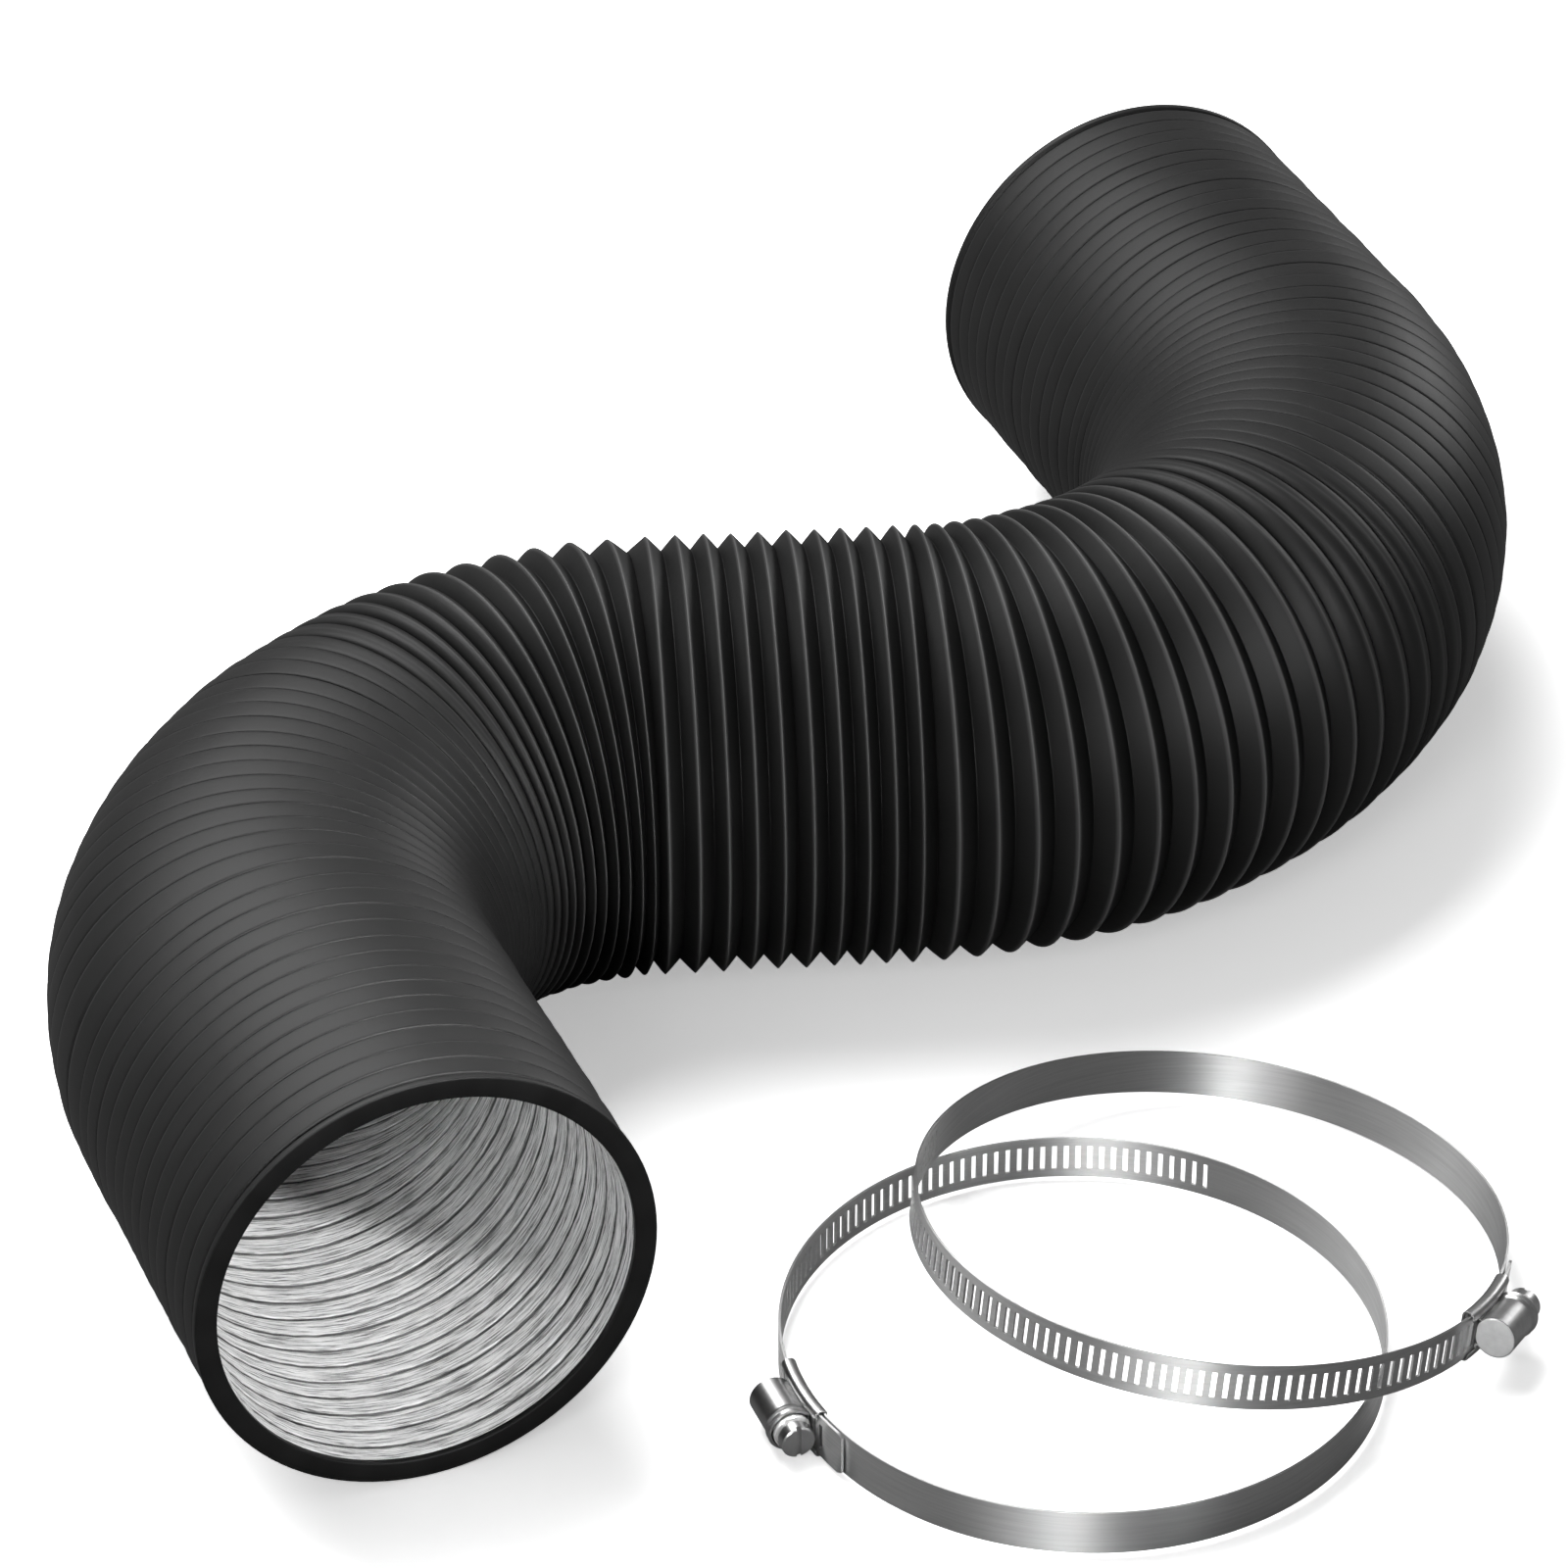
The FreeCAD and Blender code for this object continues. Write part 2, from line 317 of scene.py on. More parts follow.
def hem_rows(end, inward):
    """Flat end ring: from the last valley, over the rim, across the face, into the bore."""
    zero = np.zeros(AROUND)
    # The third number of each point is its crown, which sets the painted valley shade and crest
    # highlight where the fold film covers the rim.
    outline = [(2.7, 55.3, 0.5), (2.1, 56.7, 0.9), (1.7, 57.0, 1), (0.5, 57.0, 1),
               (0.12, 56.85, 0.6), (0.0, 56.5, 0.2), (0.0, 54.2, 0.15), (0.0, 52.0, 0.15),
               (0.1, 51.62, 0.2), (0.35, 51.5, 0.3), (HEM, 51.5, 0.3)]
    lining = [(HEM + 0.05, 56.1, 0), (HEM + 0.4, 56.1, 0)]
    return [[(end + inward * d, r + zero, c + zero, zero) for d, r, c in rows]
            for rows in (outline, lining)]


def add_hoops(name, lines, start, stop, material):
    """One wire hoop hidden in each fold."""
    verts, faces = [], []
    theta = np.linspace(0, 2 * math.pi, HOOP_STEPS, endpoint=False)
    for _, a, b in folds(lines, start, stop):
        point, ahead = path((a + b) / 2)
        side = np.array([ahead[1], -ahead[0], 0.0])
        base = len(verts)
        for th in theta:
            spoke = side * math.cos(th) + np.array([0, 0, math.sin(th)])
            for m in range(HOOP_SIDES):
                phi = 2 * math.pi * m / HOOP_SIDES
                r = HOOP_R + HOOP_WIRE_R * math.cos(phi)
                verts.append((point + spoke * r + ahead * HOOP_WIRE_R * math.sin(phi)) * MM)
        for i in range(HOOP_STEPS):
            near, far = base + i * HOOP_SIDES, base + (i + 1) % HOOP_STEPS * HOOP_SIDES
            for m in range(HOOP_SIDES):
                n = (m + 1) % HOOP_SIDES
                faces.append((near + m, near + n, far + n, far + m))
    return make_object(name, verts, faces, material)


def spread(obj):
    """Bakes the piece's placement into its mesh."""
    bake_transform(obj)


# ---------------------------------------------------------------- materials

def new_material(name):
    mat = bpy.data.materials.new(name)
    mat.use_nodes = True
    nodes, links = mat.node_tree.nodes, mat.node_tree.links
    return mat, nodes, links, nodes["Principled BSDF"]


def add(nodes, kind, **values):
    node = nodes.new(kind)
    for key, value in values.items():
        if key in node.inputs:
            node.inputs[key].default_value = value
        else:
            setattr(node, key, value)
    return node


def scaled_uv(nodes, links, u, v):
    uv = add(nodes, "ShaderNodeUVMap", uv_map="UVMap")
    mapping = add(nodes, "ShaderNodeMapping")
    mapping.inputs["Scale"].default_value = (u, v, 1.0)
    links.new(uv.outputs["UV"], mapping.inputs["Vector"])
    return mapping.outputs["Vector"]


def ramp(nodes, stops):
    node = nodes.new("ShaderNodeValToRGB")
    band = node.color_ramp
    while len(band.elements) < len(stops):
        band.elements.new(0.5)
    for element, (at, colour) in zip(band.elements, stops):
        element.position = at
        element.color = (*colour, 1.0)
    return node


def grey(v):
    return (v, v, v)


def sleeve_material():
    mat, nodes, links, shader = new_material("black_pvc_film")
    crown = add(nodes, "ShaderNodeAttribute", attribute_name="crown")
    # Painted shade and painted highlight: the film is darker in its valleys and paler on its crests, by
    # the crown height of each point.
    tone = ramp(nodes, [(0.0, grey(0.002)), (0.45, grey(0.006)),
                        (0.9, grey(0.011)), (1.0, grey(0.014))])
    links.new(crown.outputs["Fac"], tone.inputs["Fac"])
    cloud = add(nodes, "ShaderNodeTexNoise", Scale=38.0, Detail=5.0, Roughness=0.6)
    links.new(scaled_uv(nodes, links, 1.0, 1.0), cloud.inputs["Vector"])
    mix = add(nodes, "ShaderNodeMix", data_type="RGBA", blend_type="MULTIPLY")
    mix.inputs["Factor"].default_value = 0.55
    mottle = ramp(nodes, [(0.3, grey(0.72)), (0.7, grey(1.25))])
    links.new(cloud.outputs["Fac"], mottle.inputs["Fac"])
    links.new(tone.outputs["Color"], mix.inputs["A"])
    links.new(mottle.outputs["Color"], mix.inputs["B"])
    painted_highlight = add(nodes, "ShaderNodeAttribute", attribute_name="painted_highlight")
    highlight_mix = add(nodes, "ShaderNodeMix", data_type="RGBA")
    # Painted highlight: ridges and lips of the film are lightened towards this pale grey.
    highlight_mix.inputs["B"].default_value = (0.11, 0.11, 0.11, 1)
    links.new(painted_highlight.outputs["Fac"], highlight_mix.inputs["Factor"])
    links.new(mix.outputs["Result"], highlight_mix.inputs["A"])
    links.new(highlight_mix.outputs["Result"], shader.inputs["Base Color"])
    rough = add(nodes, "ShaderNodeMapRange")
    rough.inputs["To Min"].default_value = 0.46
    rough.inputs["To Max"].default_value = 0.58
    links.new(cloud.outputs["Fac"], rough.inputs["Value"])
    links.new(rough.outputs["Result"], shader.inputs["Roughness"])
    shader.inputs["Specular IOR Level"].default_value = 0.3
    fine = add(nodes, "ShaderNodeTexNoise", Scale=900.0, Detail=3.0)
    links.new(scaled_uv(nodes, links, 1.0, 1.0), fine.inputs["Vector"])
    crease = add(nodes, "ShaderNodeTexNoise", Scale=1.0, Detail=4.0, Roughness=0.55)
    links.new(scaled_uv(nodes, links, 260.0, 60.0), crease.inputs["Vector"])
    bump = add(nodes, "ShaderNodeBump", Strength=0.12, Distance=0.0006)
    links.new(crease.outputs["Fac"], bump.inputs["Height"])
    grain = add(nodes, "ShaderNodeBump", Strength=0.08, Distance=0.0002)
    links.new(fine.outputs["Fac"], grain.inputs["Height"])
    links.new(bump.outputs["Normal"], grain.inputs["Normal"])
    links.new(grain.outputs["Normal"], shader.inputs["Normal"])
    return mat


def hem_material():
    """The cut end of the film, dull and darker than the folds."""
    mat, nodes, links, shader = new_material("black_hem")
    cloud = add(nodes, "ShaderNodeTexNoise", Scale=90.0, Detail=4.0)
    links.new(scaled_uv(nodes, links, 1.0, 1.0), cloud.inputs["Vector"])
    tone = ramp(nodes, [(0.3, grey(0.0025)), (0.7, grey(0.005))])
    links.new(cloud.outputs["Fac"], tone.inputs["Fac"])
    links.new(tone.outputs["Color"], shader.inputs["Base Color"])
    shader.inputs["Roughness"].default_value = 0.55
    shader.inputs["Specular IOR Level"].default_value = 0.12
    return mat


def foil_material():
    mat, nodes, links, shader = new_material("crinkled_foil")
    shader.inputs["Metallic"].default_value = 0.45
    streak = add(nodes, "ShaderNodeTexNoise", Scale=1.0, Detail=7.0, Roughness=0.7)
    links.new(scaled_uv(nodes, links, 75.0, 1700.0), streak.inputs["Vector"])
    patch = add(nodes, "ShaderNodeTexNoise", Scale=1.0, Detail=3.0)
    links.new(scaled_uv(nodes, links, 90.0, 60.0), patch.inputs["Vector"])
    tone = ramp(nodes, [(0.38, grey(0.1)), (0.49, grey(0.7)), (0.58, grey(0.97))])
    links.new(streak.outputs["Fac"], tone.inputs["Fac"])
    crown = add(nodes, "ShaderNodeAttribute", attribute_name="crown")
    # Painted shade: the foil is darkened in its grooves, by the crown, which on the lining is the
    # groove depth.
    painted_groove_shade = ramp(nodes, [(0.02, grey(1.0)), (0.4, grey(0.06))])
    links.new(crown.outputs["Fac"], painted_groove_shade.inputs["Fac"])
    mix = add(nodes, "ShaderNodeMix", data_type="RGBA", blend_type="MULTIPLY")
    mix.inputs["Factor"].default_value = 1.0
    links.new(tone.outputs["Color"], mix.inputs["A"])
    links.new(painted_groove_shade.outputs["Color"], mix.inputs["B"])
    links.new(mix.outputs["Result"], shader.inputs["Base Color"])
    rough = add(nodes, "ShaderNodeMapRange")
    rough.inputs["To Min"].default_value = 0.34
    rough.inputs["To Max"].default_value = 0.55
    links.new(patch.outputs["Fac"], rough.inputs["Value"])
    links.new(rough.outputs["Result"], shader.inputs["Roughness"])
    bump = add(nodes, "ShaderNodeBump", Strength=0.35, Distance=0.0005)
    links.new(streak.outputs["Fac"], bump.inputs["Height"])
    dents = add(nodes, "ShaderNodeBump", Strength=0.4, Distance=0.0012)
    links.new(patch.outputs["Fac"], dents.inputs["Height"])
    links.new(bump.outputs["Normal"], dents.inputs["Normal"])
    links.new(dents.outputs["Normal"], shader.inputs["Normal"])
    return mat


def steel_material(name, tone_low, tone_high, rough_low, rough_high, grain,
                   brushed=0.0, metallic=1.0):
    """Stainless steel with fine drawn lines, grain gives the noise scale per axis."""
    mat, nodes, links, shader = new_material(name)
    shader.inputs["Metallic"].default_value = metallic
    if brushed:
        shader.inputs["Anisotropic"].default_value = brushed
        shader.inputs["Anisotropic Rotation"].default_value = 0.25
        along = add(nodes, "ShaderNodeTangent", direction_type="UV_MAP", uv_map="UVMap")
        links.new(along.outputs["Tangent"], shader.inputs["Tangent"])
    place = add(nodes, "ShaderNodeTexCoord")
    mapping = add(nodes, "ShaderNodeMapping")
    mapping.inputs["Scale"].default_value = grain
    links.new(place.outputs["Object"], mapping.inputs["Vector"])
    lines = add(nodes, "ShaderNodeTexNoise", Scale=1.0, Detail=5.0, Roughness=0.65)
    links.new(mapping.outputs["Vector"], lines.inputs["Vector"])
    smudge = add(nodes, "ShaderNodeTexNoise", Scale=90.0, Detail=3.0)
    links.new(place.outputs["Object"], smudge.inputs["Vector"])
    tone = ramp(nodes, [(0.3, tone_low), (0.7, tone_high)])
    links.new(lines.outputs["Fac"], tone.inputs["Fac"])
    links.new(tone.outputs["Color"], shader.inputs["Base Color"])
    rough = add(nodes, "ShaderNodeMapRange")
    rough.inputs["To Min"].default_value = rough_low
    rough.inputs["To Max"].default_value = rough_high
    links.new(smudge.outputs["Fac"], rough.inputs["Value"])
    links.new(rough.outputs["Result"], shader.inputs["Roughness"])
    bump = add(nodes, "ShaderNodeBump", Strength=0.1, Distance=0.0001)
    links.new(lines.outputs["Fac"], bump.inputs["Height"])
    links.new(bump.outputs["Normal"], shader.inputs["Normal"])
    return mat


SLEEVE = sleeve_material()
HEM_FILM = hem_material()
FOIL = foil_material()
WIRE = steel_material("drawn_wire", grey(0.4), grey(0.6), 0.25, 0.4, (300, 300, 300))
BAND = steel_material("clamp_band_steel", grey(0.62), grey(0.74), 0.46, 0.58, (40, 40, 1500), 0.9)
HOUSING = steel_material("clamp_pressed_steel", grey(0.5), grey(0.62), 0.28, 0.4, (300, 300, 300))
SCREW = steel_material("clamp_screw_steel", grey(0.6), grey(0.72), 0.22, 0.34, (300, 300, 300))
DISC = steel_material("clamp_end_steel", grey(0.84), grey(0.95), 0.3, 0.42, (500, 500, 500),
                      metallic=0.35)
RIMS = steel_material("clamp_collar_steel", grey(0.85), grey(0.95), 0.16, 0.26, (900, 900, 900),
                      metallic=0.6)


# ---------------------------------------------------------------- duct

def mark_hem(obj, qs, ends):
    """Gives the flat end ring its own duller film."""
    obj.data.materials.append(HEM_FILM)
    middles = np.repeat([(a + b) / 2 for a, b in zip(qs, qs[1:] + qs[:1])], AROUND)
    flat = (middles < ends[0] + HEM_FACE) | (middles > ends[-1] - HEM_FACE)
    obj.data.polygons.foreach_set("material_index", flat.astype(np.int32))


def build_duct():
    sections = duct_sections()
    lines, splits = fold_lines(sections)
    jitter = np.random.RandomState(5).uniform(-0.18, 0.12, len(lines))
    ends = [sections[0][1]] + splits + [sections[-1][2]]
    names = [s[0] for s in sections]
    last = len(ends) - 2
    for k in range(len(ends) - 1):
        start = lines[0] if k == 0 else ends[k]
        stop = lines[-1] if k == last else ends[k + 1]
        tag = f"duct_{k + 1:02d}"
        there, back = sleeve_rows(lines, start, stop, jitter)
        if k == 0:
            outline, lining = hem_rows(ends[0], 1)
            there, back = outline[::-1] + there, lining + back
        if k == last:
            outline, lining = hem_rows(ends[-1], -1)
            there, back = there + outline, back + lining[::-1]
        qs, radii, shading = loop_arrays(there, back)
        sleeve = closed_tube(tag + "_sleeve", qs, radii, shading, SLEEVE, BOTTOM)
        mark_hem(sleeve, qs, ends)
        there, back = liner_rows(lines, start, stop)
        zero = np.zeros(AROUND)
        if k == 0:
            near = ends[0] + HEM + 0.1
            there = [(near, LINER_R + zero, zero, zero)] + there
            back = [(near, LINER_R + LINER_SKIN + zero, zero, zero)] + back
        if k == last:
            near = ends[-1] - HEM - 0.1
            there.append((near, LINER_R + zero, zero, zero))
            back.append((near, LINER_R + LINER_SKIN + zero, zero, zero))
        lqs, lradii, shading = loop_arrays(there, back)
        liner = closed_tube(tag + "_lining", lqs, lradii, shading, FOIL, TOP)
        liner.data.set_sharp_from_angle(angle=math.radians(60))
        hoops = add_hoops(tag + "_wire", lines, start, stop, WIRE)
        hoop_q = hoop_positions(lines, start, stop)
        pieces = ((sleeve, "sleeve", np.repeat(qs, AROUND)), (liner, "liner", np.repeat(lqs, AROUND)),
                  (hoops, "hoops", hoop_q))
        for piece, layer, piece_q in pieces:
            if k == 0 or k == last:
                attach(piece, names[0] if k == 0 else names[-1])
            else:
                spread(piece)
            body = names[min(k, len(names) - 1)]
            if k < last:
                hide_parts(f"{layer}_{body}")


def hoop_positions(lines, start, stop):
    """Place along the duct of every vertex that add_hoops makes."""
    middles = [(a + b) / 2 for _, a, b in folds(lines, start, stop)]
    return np.repeat(middles, HOOP_STEPS * HOOP_SIDES)


build_duct()

# ---------------------------------------------------------------- clamps

RING_R = 72.35
BAND_T = 0.7
BAND_H = 6.0              # half the width of the band
BAND_EDGE = 0.12
BAND_LAP = 1.2
CAPTIVE_FROM = -8.0
BAND_MIDDLE = 180.0
SLOT_PITCH = 3.0
SLOT_W = 1.3
SLOT_H = 3.6
SLOTS_TO = 372.0
TAIL_TO = 376.0
TAIL_ROUND, TAIL_NARROW = 1.2, 0.86    # length of the rounded tip and its least width
WORM_R, WORM_CORE = 4.4, 3.2
THREAD_STEPS = 28         # mesh rows in one turn of the thread
AXIS_R = RING_R + BAND_LAP + BAND_T / 2 + 0.15 + WORM_R
BARREL_HALF, BARREL_OUT, BARREL_WALL = 7.0, 5.4, 0.7
FOOT_R = 74.05
FOOT_EDGES = (3.5, 4.0, 4.6)
SADDLE_ARC = 8.5
HEAD_EDGE = 0.35          # bevel round the top of the screw head


def joint_named(name):
    return next(j for j in frame["joints"] if j["name"] == name)


def clamp_matrix(tag):
    """Matrix from a clamp's own millimetres (ring centre, housing at +X) to the frame."""
    turn = joint_named(tag + "_screw_turn")
    normal = Vector(joint_named(tag + "_far_flex")["axis"]).normalized()
    tangent = -Vector(turn["axis"]).normalized()
    out = tangent.cross(normal)
    centre = Vector(turn["pos_m"]) - out * (AXIS_R * MM)
    turned = Matrix((out, tangent, normal)).transposed().to_4x4()
    return Matrix.Translation(centre) @ turned @ Matrix.Scale(MM, 4)


def place_mesh(obj, matrix, sharp=32.0):
    obj.data.transform(matrix)
    obj.data.set_sharp_from_angle(angle=math.radians(sharp))
    obj.data.update()
    return obj


def set_uv(obj, uv):
    layer = obj.data.uv_layers.new(name="UVMap")
    loops = np.zeros(len(obj.data.loops), int)
    obj.data.loops.foreach_get("vertex_index", loops)
    layer.data.foreach_set("uv", np.asarray(uv, float)[loops].ravel())


def smoothstep(x, lo, hi):
    t = min(max((x - lo) / (hi - lo), 0.0), 1.0)
    return t * t * (3 - 2 * t)


def band_line(theta):
    """Point on the middle of the band and its outward direction, theta in degrees."""
    step = smoothstep(theta, 84, 114) + smoothstep(theta, 246, 276)
    radius = RING_R + BAND_LAP / 2 * step
    shift = -BAND_LAP / 2 * (smoothstep(theta, 84, 114) - smoothstep(theta, 246, 276))
    out = unit(theta)
    return out * radius + np.array([0, shift, 0]), out


def band_columns(start, stop, slots_from):
    """Angles of the mesh columns, with a flag for each gap that is a slot."""
    step = math.degrees(SLOT_PITCH / (RING_R + BAND_LAP))
    half = math.degrees(SLOT_W / 2 / (RING_R + BAND_LAP))
    angles, slot = [start], []
    k = 0
    while slots_from + step * (k + 1) < SLOTS_TO + 0.01:
        middle = slots_from + step * (k + 0.5)
        k += 1
        if middle - half <= start + 0.4 or middle + half >= stop - 0.4:
            continue
        angles += [middle - half, middle + half]
        slot += [False, True]
    angles.append(stop)
    slot.append(False)
    fine, flags = [angles[0]], []
    for a, b, cut in zip(angles, angles[1:], slot):
        parts = 1 if cut else max(1, math.ceil((b - a) / 1.5))
        fine += [a + (b - a) * (i + 1) / parts for i in range(parts)]
        flags += [cut] * parts
    return fine, flags


def band_mesh(name, start, stop, slots_from, matrix):
    """Steel strip with punched slots. Twelve points round its section in every column."""
    angles, cuts = band_columns(start, stop, slots_from)
    t, e = BAND_T / 2, BAND_EDGE
    h, s = BAND_H, SLOT_H
    section = [(t, e - h), (t, -s), (t, s), (t, h - e), (t - e, h), (e - t, h),
               (-t, h - e), (-t, s), (-t, -s), (-t, e - h), (e - t, -h), (t - e, -h)]
    count = len(section)
    verts, faces, uv = [], [], []
    for angle in angles:
        point, out = band_line(angle)
        left = (TAIL_TO - angle) * math.radians(1) * RING_R
        squeeze = 1.0
        if left <= TAIL_ROUND:
            bow = math.sqrt(max(0.0, 1 - (1 - left / TAIL_ROUND) ** 2))
            squeeze = TAIL_NARROW + (1 - TAIL_NARROW) * bow
        for r, z in section:
            verts.append(point + out * r + np.array([0, 0, z * squeeze]))
            uv.append((math.radians(angle) * RING_R * MM, (z + (20 if r < 0 else 0)) * MM))
    for i, cut in enumerate(cuts):
        a, b = i * count, (i + 1) * count
        for m in range(count):
            if cut and m in (1, 7):
                continue
            n = (m + 1) % count
            faces.append((a + m, b + m, b + n, a + n))
        if cut:
            faces += [(a + 1, a + 8, b + 8, b + 1), (a + 7, a + 2, b + 2, b + 7)]
            faces += [(a + 1, a + 2, a + 7, a + 8), (b + 2, b + 1, b + 8, b + 7)]
    last = (len(angles) - 1) * count
    faces.append(tuple(range(count)))
    faces.append(tuple(last + m for m in reversed(range(count))))
    obj = make_object(name, verts, faces, BAND)
    set_uv(obj, uv)
    place_mesh(obj, matrix)
    return obj, np.repeat(np.array(angles), count)


def band_piece(name, span, slots_from, matrix, nodes):
    """Half of a band as one fixed mesh, in place of the given nodes, which are hidden."""
    obj, theta = band_mesh(name, span[0], span[1], slots_from, matrix)
    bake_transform(obj)
    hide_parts(*nodes)


def thick_outline(line, skin):
    """Closed outline round an open line of (x, z) points, skin thick, with square ends."""
    line = np.array(line, float)
    ahead = np.gradient(line, axis=0)
    ahead /= np.linalg.norm(ahead, axis=1)[:, None]
    side = np.stack([ahead[:, 1], -ahead[:, 0]], 1) * skin / 2
    return np.vstack([line + side, (line - side)[::-1]])


def swept(name, outlines, material):
    """Closed solid through a list of closed outlines of 3-D points."""
    count = len(outlines[0])
    verts = np.vstack(outlines)
    faces = []
    for i in range(len(outlines) - 1):
        a, b = i * count, (i + 1) * count
        faces += [(a + m, a + (m + 1) % count, b + (m + 1) % count, b + m) for m in range(count)]
    half = count // 2
    for base, flip in ((0, False), ((len(outlines) - 1) * count, True)):
        for m in range(half - 1):
            quad = (base + m, base + count - 1 - m, base + count - 2 - m, base + m + 1)
            faces.append(quad[::-1] if flip else quad)
    return face_out(make_object(name, verts, faces, material))


def soften(obj, width):
    """Rounds the sharp edges of a pressed part, width in mm."""
    edge = obj.modifiers.new("edges", "BEVEL")
    edge.width = width * MM
    edge.segments = 2
    edge.limit_method = "ANGLE"
    edge.angle_limit = math.radians(40)
    edge.harden_normals = True


def arc_points(centre, radius, first, last, steps):
    angles = np.radians(np.linspace(first, last, steps))
    return [(centre[0] + radius * math.cos(a), centre[1] + radius * math.sin(a)) for a in angles]


def saddle_outline():
    """Plate under the band with both edges rolled over: (radius, height) points."""
    plate = 71.6
    half = [(plate, 0.0), (plate, 2.6), (plate, 5.1)]
    half += arc_points((plate + 1.2, 5.35), 1.2, 180, 90, 6)
    half += arc_points((plate + 1.75, 5.25), 1.3, 88, -28, 9)
    low = [(r, -z) for r, z in half[1:]]
    return thick_outline(low[::-1] + half, 0.5)


def build_saddle(tag, matrix):
    outline = saddle_outline()
    rows = []
    for angle in np.linspace(-SADDLE_ARC, SADDLE_ARC, 9):
        out = unit(angle)
        rows.append(np.array([out * r + np.array([0, 0, z]) for r, z in outline]))
    obj = place_mesh(swept(tag + "_saddle_strap", rows, HOUSING), matrix)
    soften(obj, 0.12)
    finish_piece(obj, tag, [tag + "_saddle"])


def finish_piece(obj, body, nodes):
    """Hands a rigid piece to its body, with the nodes it takes the place of."""
    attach(obj, body)
    if nodes:
        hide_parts(*nodes)


def barrel_outline(y, grow):
    """Pressed section of the housing at y: two feet and the barrel between them."""
    drop = FOOT_R - math.sqrt(FOOT_R ** 2 - y * y)
    radius = BARREL_OUT - BARREL_WALL / 2
    foot = FOOT_R + 0.3 - drop
    line = [(foot, -z) for z in reversed(FOOT_EDGES)]
    line += arc_points((AXIS_R, 0), radius + grow, -136, 136, 33)
    line += [(foot, z) for z in FOOT_EDGES]
    flat = thick_outline(line, BARREL_WALL * 0.85)
    return np.array([[max(x, FOOT_R - drop), y, z] for x, z in flat])


def build_housing(tag, matrix):
    rows = [(-7.0, 0), (-5.0, 0), (-2.5, 0), (0, 0), (2.0, 0), (3.6, 0), (4.1, 0.04), (4.45, 0.3),
            (4.8, 0.42), (5.15, 0.3), (5.45, 0.05), (5.75, 0.05), (6.05, 0.3), (6.4, 0.5),
            (6.75, 0.42), (7.0, 0.3)]
    shell = swept(tag + "_barrel", [barrel_outline(y, g) for y, g in rows], HOUSING)
    place_mesh(shell, matrix)
    soften(shell, 0.1)
    finish_piece(shell, tag, [tag + "_housing"])
    profile = [(0.0, -7.28), (2.6, -7.27), (4.6, -7.25), (4.95, -7.18), (5.1, -7.0),
               (5.1, -6.5), (4.4, -6.4), (0.0, -6.4)]
    cap = turned(tag + "_barrel_end", profile, DISC, 48)
    flatten_below(cap, FOOT_R - 0.25)
    place_mesh(cap, matrix)
    finish_piece(cap, tag, [])


def turned(name, profile, material, count):
    """Solid of revolution about the screw axis from (radius, y) points, closed at an end only where the
    profile meets the axis.
    """
    verts, faces = [], []
    rings = []
    for radius, y in profile:
        if radius == 0:
            rings.append([len(verts)])
            verts.append((AXIS_R, y, 0))
            continue
        rings.append([len(verts) + k for k in range(count)])
        for k in range(count):
            a = 2 * math.pi * k / count
            verts.append((AXIS_R + radius * math.cos(a), y, radius * math.sin(a)))
    for low, high in zip(rings, rings[1:]):
        for k in range(count):
            n = (k + 1) % count
            corners = [low[k % len(low)], low[n % len(low)], high[n % len(high)], high[k % len(high)]]
            faces.append(tuple(dict.fromkeys(corners)))
    return face_out(make_object(name, verts, faces, material))


def flatten_below(obj, limit):
    """Cuts the piece flat where it would go through the band."""
    for vert in obj.data.vertices:
        vert.co.x = max(vert.co.x, limit)


def screw_head(name, y0, y1, radius, slot, depth):
    """Round flat head with one driving slot across it."""
    edge = math.asin(slot / 2 / radius)
    count = 20
    right = list(np.linspace(edge - math.pi / 2, math.pi / 2 - edge, count))
    left = list(np.linspace(math.pi / 2 + edge, 3 * math.pi / 2 - edge, count))
    angles = right + [math.pi / 2] + left + [3 * math.pi / 2]
    total = len(angles)
    rims = ((y0, radius), (y1 - depth, radius), (y1 - HEAD_EDGE, radius), (y1, radius - HEAD_EDGE))
    verts = [(AXIS_R + r * math.cos(a), y, r * math.sin(a)) for y, r in rims for a in angles]
    faces = [tuple(reversed(range(total)))]
    base = total
    in_slot = {count - 1, count, 2 * count, 2 * count + 1}
    for k in range(total):
        n = (k + 1) % total
        faces.append((k, n, base + n, base + k))
        if k in in_slot:
            continue
        faces.append((base + k, base + n, 2 * total + n, 2 * total + k))
        faces.append((2 * total + k, 2 * total + n, 3 * total + n, 3 * total + k))
    r_side = list(range(0, count))
    l_side = list(range(count + 1, 2 * count + 1))
    faces.append(tuple(3 * total + k for k in r_side))
    faces.append(tuple(3 * total + k for k in l_side))
    floor = [0, count - 1, count, count + 1, 2 * count, 2 * count + 1]
    faces.append(tuple(base + k for k in floor))
    for a, b in ((0, count - 1), (count + 1, 2 * count)):
        faces.append((base + a, base + b, 2 * total + b, 3 * total + b, 3 * total + a, 2 * total + a))
    return face_out(make_object(name, verts, faces, SCREW))


